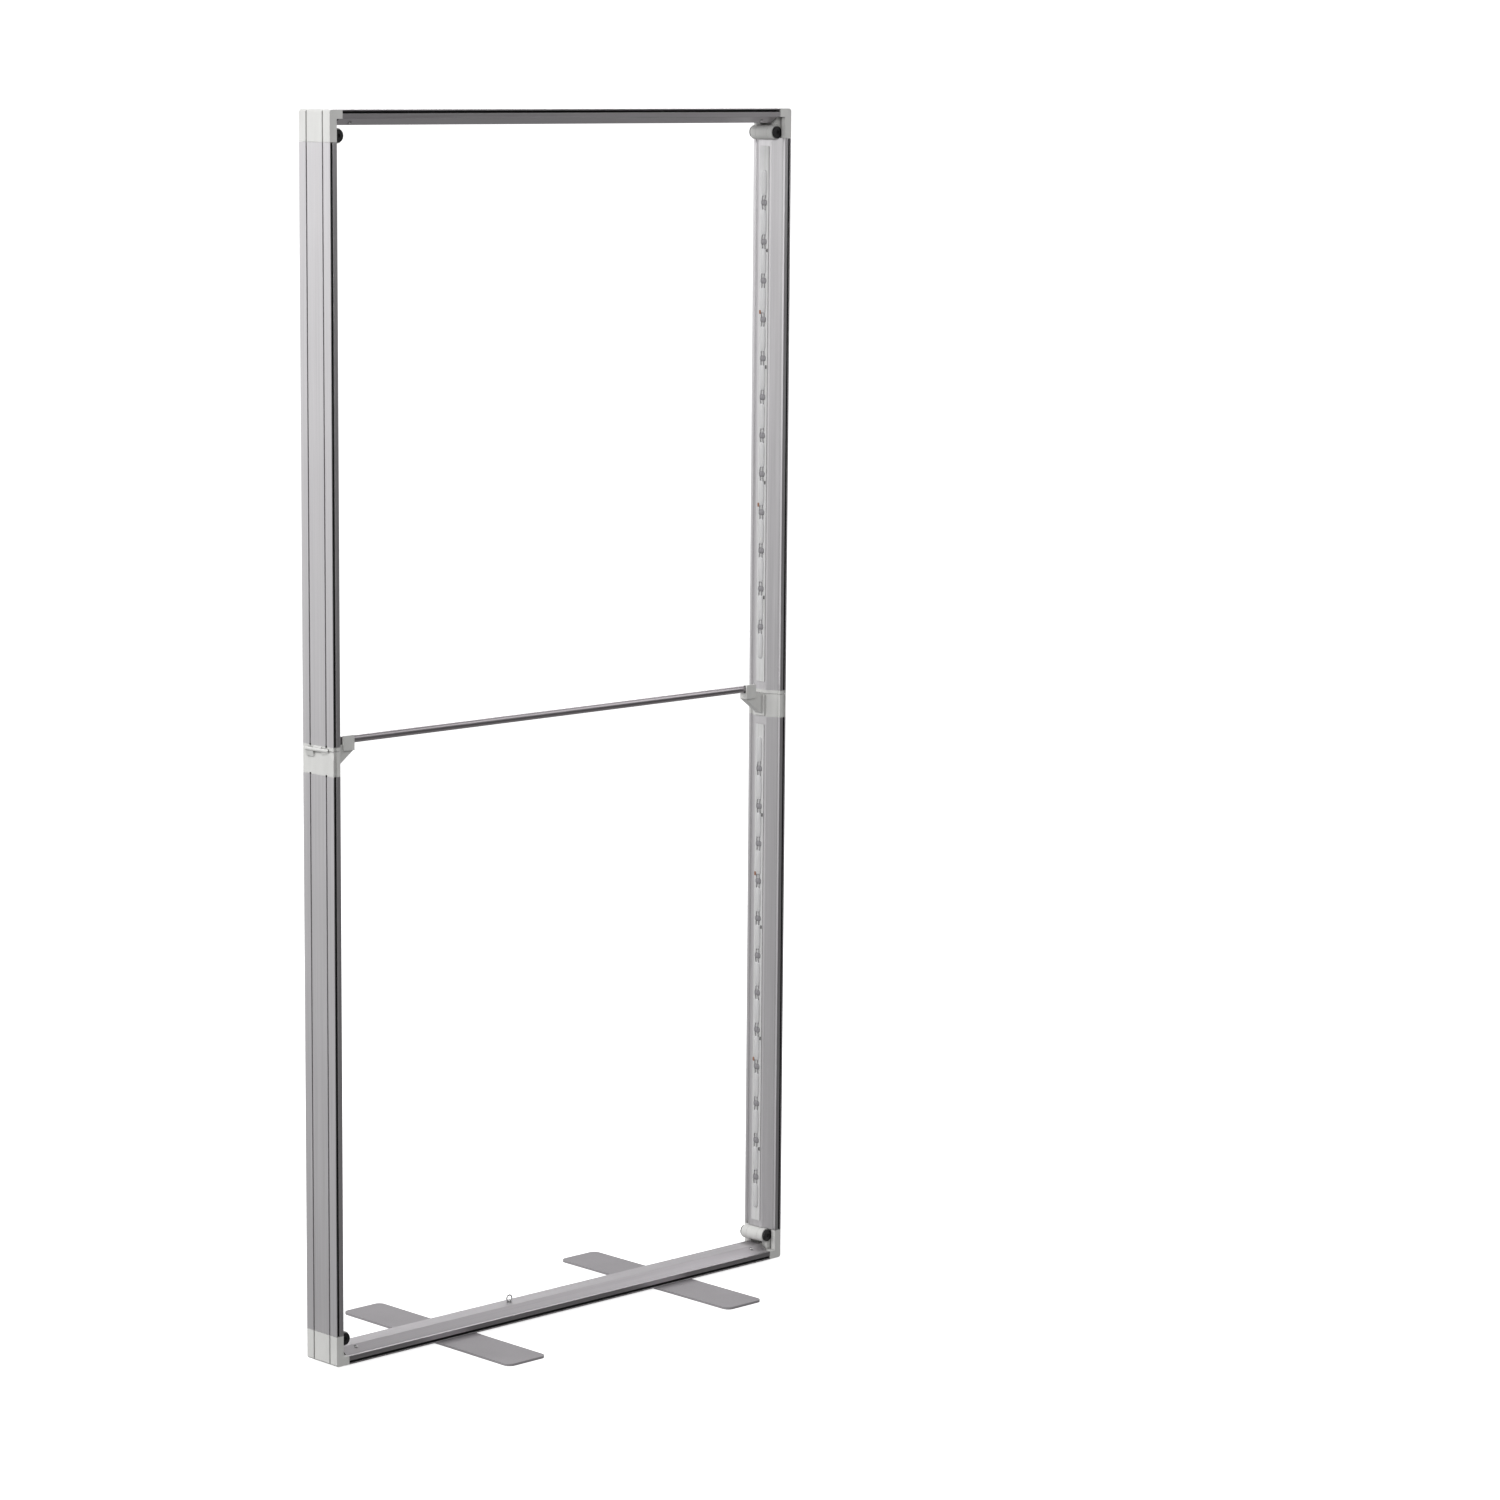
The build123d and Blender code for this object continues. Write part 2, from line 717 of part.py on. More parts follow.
make_corner_set("base", False)
make_corner_set("top", True)
make_half_post("left_lower", -1, False, pin_clearance)
make_half_post("left_upper", -1, True, pin_clearance)
make_half_post("right_lower", 1, False, pin_clearance)
make_half_post("right_upper", 1, True, open_pivot_clearance)
make_crossbar(corner_frame(-1, False))
make_foot("left_foot", -1)
make_foot("right_foot", 1)
make_foot_screws()
make_eyelet()
make_driver()
make_inlet(corner_frame(1, False))
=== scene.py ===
import json
from math import cos, pi, radians, sin

import bmesh
import bpy
from mathutils import Matrix, Vector

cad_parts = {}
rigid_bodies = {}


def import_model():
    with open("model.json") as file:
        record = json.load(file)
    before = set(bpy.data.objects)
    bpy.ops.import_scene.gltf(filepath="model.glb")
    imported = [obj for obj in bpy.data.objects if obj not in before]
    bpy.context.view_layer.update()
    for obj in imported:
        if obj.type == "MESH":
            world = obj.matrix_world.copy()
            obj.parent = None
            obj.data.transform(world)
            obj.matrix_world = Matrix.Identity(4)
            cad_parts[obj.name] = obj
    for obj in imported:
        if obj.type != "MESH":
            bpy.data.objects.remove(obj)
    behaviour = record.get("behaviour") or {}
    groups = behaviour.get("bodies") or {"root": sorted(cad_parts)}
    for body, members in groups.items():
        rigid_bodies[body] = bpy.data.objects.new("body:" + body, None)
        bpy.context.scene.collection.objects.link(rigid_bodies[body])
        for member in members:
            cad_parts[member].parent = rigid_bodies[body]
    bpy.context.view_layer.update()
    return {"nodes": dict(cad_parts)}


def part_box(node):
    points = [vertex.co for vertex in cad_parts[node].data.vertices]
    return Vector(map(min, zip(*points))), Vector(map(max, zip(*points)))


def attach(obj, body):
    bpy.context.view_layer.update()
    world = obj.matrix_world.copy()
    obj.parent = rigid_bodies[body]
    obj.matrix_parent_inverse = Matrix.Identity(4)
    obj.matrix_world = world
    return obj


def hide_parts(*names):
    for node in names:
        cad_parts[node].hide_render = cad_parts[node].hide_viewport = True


for leftover in list(bpy.data.objects):
    bpy.data.objects.remove(leftover)
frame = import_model()

# sizes, metres
HALF_DEPTH = 0.038
HALF_WIDTH = 0.5
FRAME_LOW = 0.0043
FRAME_HIGH = 2.0043
FLOOR_LEVEL = -0.0002
FLOOR_REACH = 13.0
BOWL_RADIUS = 4.0
BOWL_TOP = 14.0
SLOT_FROM = 0.002
SLOT_WIDTH = 0.004
SLOT_DEPTH = 0.011
SHADE_SHEET_GAP = 0.00025
SHADE_SHEET_WALL = 0.0007
SHADE_SHEET_RECESS = 0.0012
LENS_PITCH = 0.066
LENS_COUNT = 13
LENS_HALF_LENGTH = 0.022
LENS_HALF_WIDTH = 0.006
LENS_HEIGHT = 0.0028
LENS_SKIN = 0.00005
SHADE_SHEET_END_GAP = 0.001
CHIP_STEP = 0.0125
CHIP_HEIGHT = 0.0007
WIRE_RADIUS = 0.00065
WIRE_OFFSET = 0.0032
WIRE_POINTS = 12
WIRE_OVERLAP = 0.002
WIRE_LIFT = 0.0008
WIRE_CREST = 0.0010
WIRE_SWAY = 0.0006
LINK_SIZE = (0.0048, 0.0066, 0.0023)
RESISTOR_DOWN = 0.0145
RESISTOR_OFFSET = -0.0079
RESISTOR_HEIGHT = 0.0009
PAD_UP = 0.0125
PAD_OFFSET = 0.0078
PAD_HEIGHT = 0.0006
CONTACTS = 4
CONTACT_PITCH = 0.0075
CONTACT_HALF = 0.0005
SCREW_X = 0.446
SCREW_Y = 0.020
SCREW_SEAT = 0.0204
SIDES = {"left": -1, "right": 1}
HALVES = [(side, half) for side in SIDES for half in ("lower", "upper")]


class Mat:
    """A principled material with a few helpers for its nodes."""

    def __init__(self, name, color, rough, metal=0.0):
        self.m = bpy.data.materials.new(name)
        self.m.use_nodes = True
        self.t = self.m.node_tree
        self.p = self.t.nodes["Principled BSDF"]
        self.p.inputs["Metallic"].default_value = metal
        self.coord = self.t.nodes.new("ShaderNodeTexCoord").outputs["Object"]
        self.color = self.rgb(color)
        self.rough = rough
        self.bump = None

    def node(self, kind, **values):
        n = self.t.nodes.new(kind)
        for k, v in values.items():
            setattr(n, k, v)
        return n

    def link(self, a, b):
        self.t.links.new(a, b)

    def rgb(self, c):
        n = self.node("ShaderNodeRGB")
        n.outputs[0].default_value = (*c, 1)
        return n.outputs[0]

    def noise(self, scale, stretch=(1, 1, 1), detail=3.0, rough=0.5):
        mapping = self.node("ShaderNodeMapping")
        mapping.inputs["Scale"].default_value = stretch
        self.link(self.coord, mapping.inputs["Vector"])
        n = self.node("ShaderNodeTexNoise")
        n.inputs["Scale"].default_value = scale
        n.inputs["Detail"].default_value = detail
        n.inputs["Roughness"].default_value = rough
        self.link(mapping.outputs[0], n.inputs["Vector"])
        return n.outputs["Fac"]

    def span(self, value, low, high, start=0.3, end=0.7):
        n = self.node("ShaderNodeMapRange")
        n.inputs["From Min"].default_value = start
        n.inputs["From Max"].default_value = end
        n.inputs["To Min"].default_value = low
        n.inputs["To Max"].default_value = high
        self.link(value, n.inputs["Value"])
        return n.outputs[0]

    def tint(self, factor, color):
        """Moves the colour towards another where factor is 1."""
        n = self.node("ShaderNodeMix", data_type="RGBA")
        self.link(factor, n.inputs["Factor"])
        self.link(self.color, n.inputs["A"])
        n.inputs["B"].default_value = (*color, 1)
        self.color = n.outputs["Result"]

    def shade(self, value):
        """Multiplies the colour by a grey value."""
        n = self.node("ShaderNodeMix", data_type="RGBA", blend_type="MULTIPLY")
        n.inputs["Factor"].default_value = 1.0
        self.link(self.color, n.inputs["A"])
        self.link(value, n.inputs["B"])
        self.color = n.outputs["Result"]

    def paint_hollow_shade(self, distance, low, start=0.35, end=0.95):
        """Painted shade: darkens what lies deep in a groove or a corner."""
        n = self.node("ShaderNodeAmbientOcclusion", samples=8)
        n.inputs["Distance"].default_value = distance
        self.shade(self.span(n.outputs["AO"], low, 1.0, start, end))

    def paint_edge_highlight(self, radius, color, amount):
        """Painted edge highlight: tints the colour along the edges towards the given one."""
        bevel = self.node("ShaderNodeBevel", samples=4)
        bevel.inputs["Radius"].default_value = radius
        geometry = self.node("ShaderNodeNewGeometry")
        dot = self.node("ShaderNodeVectorMath", operation="DOT_PRODUCT")
        self.link(bevel.outputs[0], dot.inputs[0])
        self.link(geometry.outputs["Normal"], dot.inputs[1])
        self.tint(self.span(dot.outputs["Value"], amount, 0.0, 0.72, 0.98), color)

    def bumps(self, value, strength, distance):
        n = self.node("ShaderNodeBump")
        n.inputs["Strength"].default_value = strength
        n.inputs["Distance"].default_value = distance
        self.link(value, n.inputs["Height"])
        if self.bump:
            self.link(self.bump, n.inputs["Normal"])
        self.bump = n.outputs[0]

    def soften(self, radius):
        n = self.node("ShaderNodeBevel", samples=4)
        n.inputs["Radius"].default_value = radius
        self.bump = n.outputs[0]

    def done(self):
        self.link(self.color, self.p.inputs["Base Color"])
        if isinstance(self.rough, float):
            self.p.inputs["Roughness"].default_value = self.rough
        else:
            self.link(self.rough, self.p.inputs["Roughness"])
        if self.bump:
            self.link(self.bump, self.p.inputs["Normal"])
        return self.m


def anodised(name, color, run, low=0.34, high=0.46):
    """Satin anodised extrusion: fine drawn lines along the run, faint clouds, painted shade in the
    grooves, a painted highlight along the edges.
    """
    m = Mat(name, color, 0.4, 1.0)
    fine = {"x": (4, 900, 900), "z": (900, 900, 4)}[run]
    wide = {"x": (1.5, 160, 160), "z": (160, 160, 1.5)}[run]
    lines = m.noise(1.0, fine, 4.0, 0.6)
    bands = m.noise(1.0, wide, 3.0, 0.5)
    clouds = m.noise(5.0, (1, 1, 1), 3.0, 0.5)
    m.shade(m.span(lines, 0.93, 1.05))
    m.shade(m.span(bands, 0.95, 1.03))
    m.tint(m.span(clouds, 0.0, 0.10, 0.4, 0.75), (0.56, 0.53, 0.56))
    m.paint_hollow_shade(0.004, 0.55)
    m.paint_edge_highlight(0.0005, (0.86, 0.86, 0.87), 0.55)
    m.rough = m.span(lines, low, high)
    m.soften(0.0003)
    m.bumps(lines, 0.05, 0.00008)
    return m.done()


def moulded(name, color, rough, grain, low, edge_highlight_colour, soft):
    """Moulded plastic: fine spark-eroded grain, faint flow marks, painted shade in the hollows, a painted
    highlight along the edges.
    """
    m = Mat(name, color, rough)
    skin = m.noise(grain, (1, 1, 1), 2.0, 0.6)
    flow = m.noise(55.0, (1, 1, 0.35), 3.0, 0.55)
    m.shade(m.span(flow, 0.95, 1.02))
    m.shade(m.span(skin, 0.975, 1.02))
    m.paint_hollow_shade(0.006, low)
    m.paint_edge_highlight(0.0006, edge_highlight_colour, 0.5)
    m.rough = m.span(flow, rough - 0.06, rough + 0.08)
    m.soften(soft)
    m.bumps(skin, 0.10, 0.00008)
    return m.done()


def plated(name, color, low, high, metal=1.0):
    m = Mat(name, color, low, metal)
    marks = m.noise(700.0, (1, 1, 1), 4.0, 0.65)
    haze = m.noise(90.0, (1, 1, 1), 3.0, 0.5)
    m.shade(m.span(haze, 0.86, 1.05))
    # painted shade in the hollows
    m.paint_hollow_shade(0.003, 0.35)
    m.rough = m.span(marks, low, high)
    m.soften(0.0002)
    m.bumps(marks, 0.06, 0.00005)
    return m.done()


def coated(name, color):
    """Powder coat: orange peel, small specks, a thin painted highlight along the edges."""
    m = Mat(name, color, 0.5, 0.0)
    peel = m.noise(420.0, (1, 1, 1), 2.0, 0.5)
    specks = m.noise(2600.0, (1, 1, 1), 1.0, 0.5)
    cloud = m.noise(9.0, (1, 1, 1), 4.0, 0.6)
    m.shade(m.span(cloud, 0.93, 1.04))
    m.tint(m.span(specks, 0.0, 0.25, 0.62, 0.75), (0.62, 0.60, 0.62))
    m.paint_edge_highlight(0.0007, (0.72, 0.71, 0.72), 0.6)
    m.rough = m.span(peel, 0.42, 0.56)
    m.soften(0.0006)
    m.bumps(peel, 0.12, 0.0002)
    m.bumps(specks, 0.05, 0.00005)
    return m.done()


def lens_material():
    m = Mat("clear_lens_finish", (0.97, 0.97, 0.98), 0.16)
    haze = m.noise(160.0, (1, 1, 0.3), 3.0, 0.5)
    m.shade(m.span(haze, 0.94, 1.0))
    m.rough = m.span(haze, 0.10, 0.24)
    m.bumps(haze, 0.08, 0.0002)
    m.p.inputs["Transmission Weight"].default_value = 0.22
    m.p.inputs["IOR"].default_value = 1.49
    return m.done()


def board_material():
    m = Mat("strip_board_finish", (0.80, 0.80, 0.80), 0.5)
    resist = m.noise(500.0, (1, 1, 0.2), 3.0, 0.6)
    traces = m.noise(1.0, (60, 420, 14), 1.0, 0.4)
    m.shade(m.span(resist, 0.96, 1.02))
    m.tint(m.span(traces, 0.0, 0.35, 0.52, 0.56), (0.66, 0.67, 0.64))
    # painted shade in the hollows
    m.paint_hollow_shade(0.002, 0.8)
    m.rough = m.span(resist, 0.38, 0.55)
    m.bumps(traces, 0.15, 0.00006)
    return m.done()


alu_z = anodised("satin_aluminium_post", (0.83, 0.815, 0.83), "z")
# the rails share the posts' satin aluminium; this darker base colour is painted shade on the rails
alu_rail_painted_darker = anodised("satin_aluminium_rail", (0.60, 0.58, 0.60), "x")
bar_alu = anodised("bar_aluminium_finish", (0.50, 0.47, 0.49), "x", 0.30, 0.42)
white = moulded("white_plastic_finish", (0.86, 0.86, 0.84), 0.42, 1500.0, 0.55,
                (0.93, 0.93, 0.91), 0.0005)
black = moulded("black_plastic_finish", (0.03, 0.03, 0.03), 0.45, 1500.0, 0.5,
                (0.09, 0.09, 0.09), 0.0004)
# near-black finish for the sheets in the slots: painted shade
slot_shade_black = moulded("slot_painted_shade_finish", (0.016, 0.015, 0.017), 0.62, 900.0, 0.6,
                 (0.04, 0.04, 0.04), 0.0002)
dark = plated("dark_steel_finish", (0.05, 0.05, 0.052), 0.30, 0.48, 0.7)
bright = plated("bright_steel_finish", (0.66, 0.66, 0.66), 0.18, 0.34)
polished = plated("screw_head_finish", (0.90, 0.90, 0.90), 0.22, 0.36)
screw = plated("cap_screw_finish", (0.10, 0.095, 0.10), 0.30, 0.48)
brass = plated("contact_finish", (0.72, 0.52, 0.22), 0.20, 0.36)
copper = plated("copper_mark_finish", (0.46, 0.24, 0.16), 0.35, 0.55, 0.4)
foot = coated("foot_steel_finish", (0.42, 0.40, 0.42))
driver = coated("driver_case_finish", (0.70, 0.70, 0.70))
lens = lens_material()
board = board_material()
phosphor = moulded("phosphor_finish", (0.86, 0.74, 0.28), 0.5, 2500.0, 0.8, (0.9, 0.8, 0.4), 0.0001)
chip = moulded("chip_finish", (0.06, 0.055, 0.055), 0.4, 2500.0, 0.7, (0.2, 0.2, 0.2), 0.0001)
link = moulded("link_wire_finish", (0.36, 0.35, 0.37), 0.45, 1200.0, 0.7, (0.5, 0.5, 0.5), 0.0001)

by_slot = {
    "bar_aluminium": bar_alu, "white_plastic": white, "black_plastic": black, "dark_steel": dark,
    "bright_steel": bright, "foot_steel": foot, "strip_board": board, "clear_lens": lens,
    "driver_case": driver,
}
for name, obj in frame["nodes"].items():
    for i, old in enumerate(obj.data.materials):
        slot = old.name.split(".")[0]
        if name.endswith("cap_screws"):
            obj.data.materials[i] = screw
        elif slot == "satin_aluminium":
            # the horizontal rails take the darker copy: painted shade
            obj.data.materials[i] = alu_rail_painted_darker if name in ("base_rail", "top_rail") else alu_z
        else:
            obj.data.materials[i] = by_slot[slot]


class Shape:
    """Vertices and faces of one piece, gathered from several forms."""

    def __init__(self):
        self.v, self.f = [], []

    def add(self, verts, faces):
        n = len(self.v)
        self.v += [Vector(p) for p in verts]
        self.f += [[i + n for i in face] for face in faces]

    def prism(self, profile, start, end, place):
        """A closed profile carried from start to end; place(a, b, t) gives the point."""
        n = len(profile)
        verts = [place(a, b, t) for t in (start, end) for a, b in profile]
        faces = [[i, (i + 1) % n, (i + 1) % n + n, i + n] for i in range(n)]
        self.add(verts, faces + [list(range(n))[::-1], list(range(n, 2 * n))])

    def tube(self, path, radius, sides=8):
        path = [Vector(p) for p in path]
        verts, n = [], len(path)
        for i, p in enumerate(path):
            way = (path[min(i + 1, n - 1)] - path[max(i - 1, 0)]).normalized()
            a = way.orthogonal().normalized() if i == 0 else (a - way * a.dot(way)).normalized()
            b = way.cross(a)
            verts += [p + (a * cos(k * 2 * pi / sides) + b * sin(k * 2 * pi / sides)) * radius
                      for k in range(sides)]
        faces = [[i * sides + k, i * sides + (k + 1) % sides,
                  (i + 1) * sides + (k + 1) % sides, (i + 1) * sides + k]
                 for i in range(n - 1) for k in range(sides)]
        self.add(verts, faces + [list(range(sides))[::-1], [(n - 1) * sides + k for k in range(sides)]])

    def lathe(self, profile, place, sides=24):
        """Profile of (radius, along) turned round an axis; place(a, b, along) gives the point."""
        n, verts = len(profile), []
        for k in range(sides):
            turn = k * 2 * pi / sides
            verts += [place(r * cos(turn), r * sin(turn), h) for r, h in profile]
        faces = [[k * n + i, k * n + i + 1, (k + 1) % sides * n + i + 1, (k + 1) % sides * n + i]
                 for k in range(sides) for i in range(n - 1)]
        self.add(verts, faces)

    def dome(self, half_long, half_wide, height, place, rings=6, points=32, power=4.0):
        """A crowned form on a rounded footprint; place(long, wide, up) gives the point."""
        verts = []
        for r in range(rings):
            lift = (r / rings) ** 0.8
            shrink = (1 - lift ** 3) ** 0.5
            for k in range(points):
                turn = k * 2 * pi / points
                c, s = cos(turn), sin(turn)
                grow = (abs(c) ** power + abs(s) ** power) ** (-1 / power)
                inset = (1 - shrink) * half_wide
                long, wide = c * grow * (half_long - inset), s * grow * (half_wide - inset)
                verts.append(place(long, wide, lift * height))
        verts.append(place(0, 0, height))
        faces = [[r * points + k, r * points + (k + 1) % points, (r + 1) * points + (k + 1) % points,
                  (r + 1) * points + k] for r in range(rings - 1) for k in range(points)]
        last = (rings - 1) * points
        faces += [[last + k, last + (k + 1) % points, len(verts) - 1] for k in range(points)]
        self.add(verts, faces + [list(range(points))[::-1]])

    def piece(self, name, material, body, slot, smooth=True, angle=35):
        mesh = bpy.data.meshes.new(name)
        mesh.from_pydata([tuple(p) for p in self.v], [], self.f)
        mesh.validate()
        mesh.materials.append(material)
        obj = bpy.data.objects.new(name, mesh)
        bpy.context.scene.collection.objects.link(obj)
        bm = bmesh.new()
        bm.from_mesh(mesh)
        bmesh.ops.remove_doubles(bm, verts=bm.verts, dist=1e-7)
        bmesh.ops.recalc_face_normals(bm, faces=bm.faces)
        bm.to_mesh(mesh)
        bm.free()
        if smooth:
            mesh.polygons.foreach_set("use_smooth", [True] * len(mesh.polygons))
            mesh.set_sharp_from_angle(angle=radians(angle))
        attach(obj, body)
        return obj


def chamfered(half_a, half_b, cut):
    """Rectangle with cut corners, as a closed profile."""
    a, b = half_a, half_b
    return [(a - cut, -b), (a, -b + cut), (a, b - cut), (a - cut, b),
            (-a + cut, b), (-a, b - cut), (-a, -b + cut), (-a + cut, -b)]


# thin black sheets lining the graphic slots: painted shade, dark where the slot lies only in shadow
slot_shade_profile = [(SHADE_SHEET_GAP, SHADE_SHEET_RECESS), (SHADE_SHEET_GAP + SHADE_SHEET_WALL, SHADE_SHEET_RECESS),
         (SHADE_SHEET_GAP + SHADE_SHEET_WALL, SLOT_DEPTH - SHADE_SHEET_GAP - SHADE_SHEET_WALL),
         (SLOT_WIDTH - SHADE_SHEET_GAP - SHADE_SHEET_WALL, SLOT_DEPTH - SHADE_SHEET_GAP - SHADE_SHEET_WALL),
         (SLOT_WIDTH - SHADE_SHEET_GAP - SHADE_SHEET_WALL, SHADE_SHEET_RECESS), (SLOT_WIDTH - SHADE_SHEET_GAP, SHADE_SHEET_RECESS),
         (SLOT_WIDTH - SHADE_SHEET_GAP, SLOT_DEPTH - SHADE_SHEET_GAP), (SHADE_SHEET_GAP, SLOT_DEPTH - SHADE_SHEET_GAP)]
for side, half in HALVES:
    low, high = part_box(f"{side}_{half}_rail")
    shape = Shape()
    for face in (-1, 1):
        shape.prism(slot_shade_profile, low.z + SHADE_SHEET_END_GAP, high.z - SHADE_SHEET_END_GAP,
                    lambda a, b, t, s=SIDES[side], f=face: (
                        s * (HALF_WIDTH - SLOT_FROM - a), f * (HALF_DEPTH - b), t))
    shape.piece(f"{side}_{half}_slot_shade_sheets", slot_shade_black, f"{side}_{half}", "black_plastic", smooth=False)
for name, level, up in (("base", FRAME_LOW, 1), ("top", FRAME_HIGH, -1)):
    low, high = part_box(f"{name}_rail")
    shape = Shape()
    for face in (-1, 1):
        shape.prism(slot_shade_profile, low.x + SHADE_SHEET_END_GAP, high.x - SHADE_SHEET_END_GAP,
                    lambda a, b, t, f=face: (t, f * (HALF_DEPTH - b), level + up * (SLOT_FROM + a)))
    shape.piece(f"{name}_slot_shade_sheets", slot_shade_black, name, "black_plastic", smooth=False)

# light strips
for side, half in HALVES:
    body = f"{side}_{half}"
    s = SIDES[side]
    low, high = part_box(f"{body}_led_lenses")
    face = high.x if s > 0 else low.x
    first = low.z + LENS_HALF_LENGTH
    lenses, chips, wires, resistors, pads = Shape(), Shape(), Shape(), Shape(), Shape()
    for i in range(LENS_COUNT):
        z = first + i * LENS_PITCH
        lenses.dome(LENS_HALF_LENGTH, LENS_HALF_WIDTH, LENS_HEIGHT - LENS_SKIN,
                    lambda a, b, up, z=z: (face - s * up, b, z + a))
        for step in (-1, 0, 1):
            chips.prism(chamfered(0.0019, 0.0016, 0.0004), 0.0, CHIP_HEIGHT,
                        lambda a, b, t, z=z + step * CHIP_STEP: (face - s * t, b, z + a))
        if i == LENS_COUNT - 1:
            continue
        gap_low, gap_high = z + LENS_HALF_LENGTH, z + LENS_PITCH - LENS_HALF_LENGTH
        for y in (-WIRE_OFFSET, WIRE_OFFSET):
            path = []
            for k in range(WIRE_POINTS + 1):
                t = k / WIRE_POINTS
                rise = WIRE_LIFT + WIRE_CREST * sin(pi * t) ** 0.6
                sway = WIRE_SWAY * sin(2 * pi * t + i)
                along = gap_low - WIRE_OVERLAP + (gap_high - gap_low + 2 * WIRE_OVERLAP) * t
                path.append((face - s * rise, y + sway, along))
            wires.tube(path, WIRE_RADIUS)
        middle = (gap_low + gap_high) / 2
        wires.dome(*LINK_SIZE, lambda a, b, up, z=middle: (face - s * up, b, z + a), rings=4, points=24)
        if i % 3 == 1:
            resistors.prism(chamfered(0.0030, 0.0010, 0.0002), 0.0, RESISTOR_HEIGHT,
                            lambda a, b, t, z=middle - RESISTOR_DOWN: (
                                face - s * t, RESISTOR_OFFSET + b, z + a))
        if i % 5 == 3:
            pads.prism(chamfered(0.0034, 0.0019, 0.0007), 0.0, PAD_HEIGHT,
                       lambda a, b, t, z=middle + PAD_UP: (face - s * t, PAD_OFFSET + b, z + a))
    new = lenses.piece(f"{body}_lens_domes", lens, body, "clear_lens", angle=60)
    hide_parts(f"{body}_led_lenses")
    chips.piece(f"{body}_led_chips", phosphor, body, "strip_board", smooth=False)
    wires.piece(f"{body}_link_wires", link, body, "black_plastic", angle=60)
    resistors.piece(f"{body}_resistors", chip, body, "black_plastic", smooth=False)
    pads.piece(f"{body}_solder_pads", copper, body, "strip_board", smooth=False)

# contacts of the middle connectors
for side, half in HALVES:
    body = f"{side}_{half}"
    low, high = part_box(f"{body}_connector")
    mid_x = (low.x + high.x) / 2
    open_z, back = (high.z, -1) if half == "lower" else (low.z, 1)
    shape = Shape()
    for i in range(CONTACTS):
        y = (i - (CONTACTS - 1) / 2) * CONTACT_PITCH
        blade = [(-0.0030, 0.0048), (-0.0030, 0.0010), (-0.0022, 0.0004), (-0.0014, 0.0012),
                 (-0.0010, 0.0044), (0.0010, 0.0044), (0.0014, 0.0012), (0.0022, 0.0004),
                 (0.0030, 0.0010), (0.0030, 0.0048)]
        shape.prism(blade, -CONTACT_HALF, CONTACT_HALF,
                    lambda a, b, t, y=y: (mid_x + a, y + t, open_z + back * b))
    shape.piece(f"{body}_contacts", brass, body, "bright_steel", smooth=False)

# button heads of the corner screws
for name, level, up in (("base", FRAME_LOW + SCREW_SEAT, 1), ("top", FRAME_HIGH - SCREW_SEAT, -1)):
    shape = Shape()
    for x in (-SCREW_X, SCREW_X):
        for y in (-SCREW_Y, SCREW_Y):
            head = [(0.0030, 0.0), (0.0030, 0.0004), (0.0027, 0.0010), (0.0020, 0.0014), (0.0013, 0.00155),
                    (0.0012, 0.0008), (0.00001, 0.0008)]
            shape.lathe(head, lambda a, b, h: (x + a, y + b, level + up * h))
    shape.piece(f"{name}_screw_heads", polished, name, "bright_steel")

# collars of the crossbar
low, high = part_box("crossbar_tube")
bar_z, bar_radius = (low.z + high.z) / 2, (high.z - low.z) / 2
shape = Shape()
for x, way in ((low.x, 1), (high.x, -1)):
    ring = [(bar_radius - 0.0010, 0.0000), (bar_radius + 0.0001, 0.0000), (bar_radius + 0.0004, 0.0006),
            (bar_radius + 0.0004, 0.0050), (bar_radius + 0.0001, 0.0056), (bar_radius - 0.0010, 0.0056)]
    shape.lathe(ring, lambda a, b, h, x=x, way=way: (x + way * h, a, bar_z + b))
shape.piece("crossbar_collars", black, "crossbar", "black_plastic")

# stage and light
def revolve_stage(name, profile, steps=96):
    """A bowl of revolution that the camera sees from every side."""
    mesh = bpy.data.meshes.new(name)
    n = len(profile)
    verts = [(r * cos(k * 2 * pi / steps), r * sin(k * 2 * pi / steps), z)
             for k in range(steps) for r, z in profile]
    faces = [[k * n + i, (k + 1) % steps * n + i, (k + 1) % steps * n + i + 1, k * n + i + 1]
             for k in range(steps) for i in range(n - 1)]
    mesh.from_pydata(verts, [], faces)
    mesh.polygons.foreach_set("use_smooth", [True] * len(mesh.polygons))
    obj = bpy.data.objects.new(name, mesh)
    bpy.context.scene.collection.objects.link(obj)
    return obj


bowl = [(r, FLOOR_LEVEL) for r in (0.0001, 2.0, 8.0, FLOOR_REACH)]
bowl += [(FLOOR_REACH + BOWL_RADIUS * sin(a * pi / 16), BOWL_RADIUS - BOWL_RADIUS * cos(a * pi / 16))
         for a in range(1, 9)]
bowl += [(FLOOR_REACH + BOWL_RADIUS, BOWL_TOP)]
floor = revolve_stage("pale_floor", bowl)
pale = Mat("pale_floor_finish", (0.90, 0.90, 0.90), 0.9)
pale.shade(pale.span(pale.noise(0.6, (1, 1, 1), 2.0, 0.5), 0.985, 1.0))
pale.p.inputs["Specular IOR Level"].default_value = 0.1
pale.p.inputs["Emission Color"].default_value = (1, 1, 1, 1)
pale.p.inputs["Emission Strength"].default_value = 0.80
floor.data.materials.append(pale.done())
floor.visible_glossy = False
floor.visible_diffuse = False
floor.visible_shadow = False

world = bpy.data.worlds.new("studio")
bpy.context.scene.world = world
world.use_nodes = True
tree = world.node_tree
way = tree.nodes.new("ShaderNodeTexCoord").outputs["Generated"]


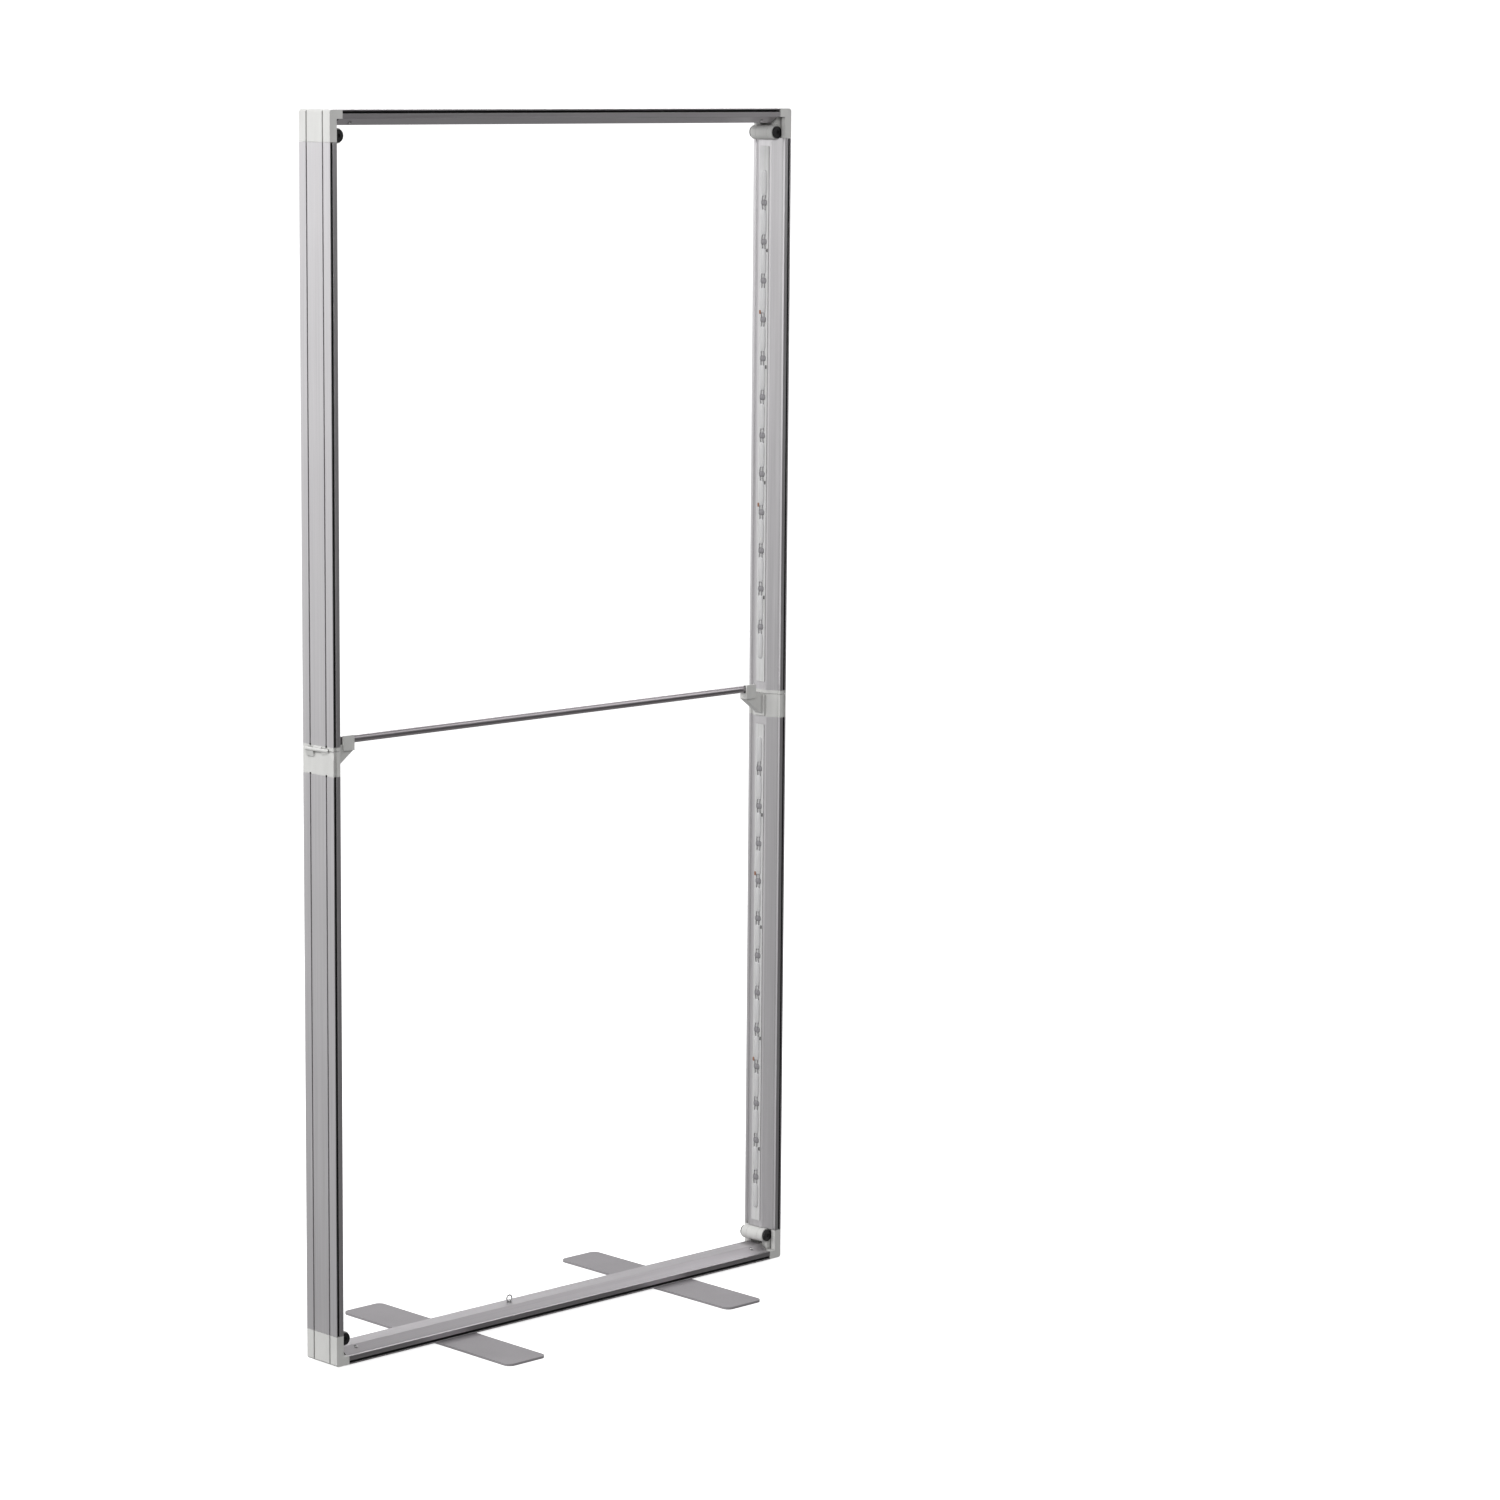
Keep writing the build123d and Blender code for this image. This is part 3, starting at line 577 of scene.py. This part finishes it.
def toward(direction, start, end, low, high):
    """Brightness that rises from low to high as the sky turns towards a direction."""
    dot = tree.nodes.new("ShaderNodeVectorMath")
    dot.operation = "DOT_PRODUCT"
    dot.inputs[1].default_value = Vector(direction).normalized()
    tree.links.new(way, dot.inputs[0])
    n = tree.nodes.new("ShaderNodeMapRange")
    n.interpolation_type = "SMOOTHSTEP"
    for key, value in (("From Min", start), ("From Max", end), ("To Min", low), ("To Max", high)):
        n.inputs[key].default_value = value
    tree.links.new(dot.outputs["Value"], n.inputs["Value"])
    return n.outputs[0]


def joined(operation, a, b):
    n = tree.nodes.new("ShaderNodeMath")
    n.operation = operation
    tree.links.new(a, n.inputs[0])
    tree.links.new(b, n.inputs[1])
    return n.outputs[0]


upper = toward((0, 0, 1), -0.30, 0.14, 0.0, 1.0)
glow = joined("MULTIPLY", toward((-0.75, 0.66, 0), 0.15, 0.9, 0.0, 0.80), upper)
shade = toward((0.70, -0.70, -0.15), 0.78, 0.98, 0.27, 0.08)
total = joined("ADD", glow, shade)
tint = tree.nodes.new("ShaderNodeCombineColor")
for channel in range(3):
    tree.links.new(total, tint.inputs[channel])
tree.links.new(tint.outputs[0], tree.nodes["Background"].inputs["Color"])
tree.nodes["Background"].inputs["Strength"].default_value = 1.0


def area_light(name, at, aim, size, power):
    data = bpy.data.lights.new(name, "AREA")
    data.shape = "RECTANGLE"
    data.size, data.size_y = size
    data.energy = power
    obj = bpy.data.objects.new(name, data)
    bpy.context.scene.collection.objects.link(obj)
    obj.location = at
    obj.rotation_euler = (Vector(aim) - Vector(at)).to_track_quat("-Z", "Y").to_euler()
    return obj


area_light("key_light", (-3.2, 1.2, 3.4), (-0.4, 0.0, 1.9), (2.0, 1.2), 36.0)
area_light("front_light", (-3.4, -3.6, 3.6), (0.0, 0.0, 1.1), (2.0, 1.4), 64.0)
area_light("back_light", (2.6, 3.0, 3.2), (0.0, 0.0, 1.1), (2.0, 1.4), 30.0)
area_light("side_light", (3.4, -1.6, 3.4), (0.5, 0.0, 1.0), (3.0, 2.4), 30.0)

# camera, fitted to the upright frame in the photograph
YAW, PITCH, ROLL = radians(44.30), radians(8.77), radians(0.48)
EYE = (-4.9036, -5.4880, 2.0897)
forward = Vector((sin(YAW) * cos(PITCH), cos(YAW) * cos(PITCH), -sin(PITCH)))
level_right = Vector((cos(YAW), -sin(YAW), 0))
level_up = level_right.cross(forward)
right = level_right * cos(ROLL) + level_up * sin(ROLL)
up = level_up * cos(ROLL) - level_right * sin(ROLL)
data = bpy.data.cameras.new("camera")
data.lens = 107.8
data.sensor_width = 36.0
data.clip_end = 60.0
camera = bpy.data.objects.new("camera", data)
bpy.context.scene.collection.objects.link(camera)
camera.matrix_world = Matrix((
    (right.x, up.x, -forward.x, EYE[0]),
    (right.y, up.y, -forward.y, EYE[1]),
    (right.z, up.z, -forward.z, EYE[2]),
    (0, 0, 0, 1)))
bpy.context.scene.camera = camera
bpy.context.scene.view_settings.view_transform = "Standard"
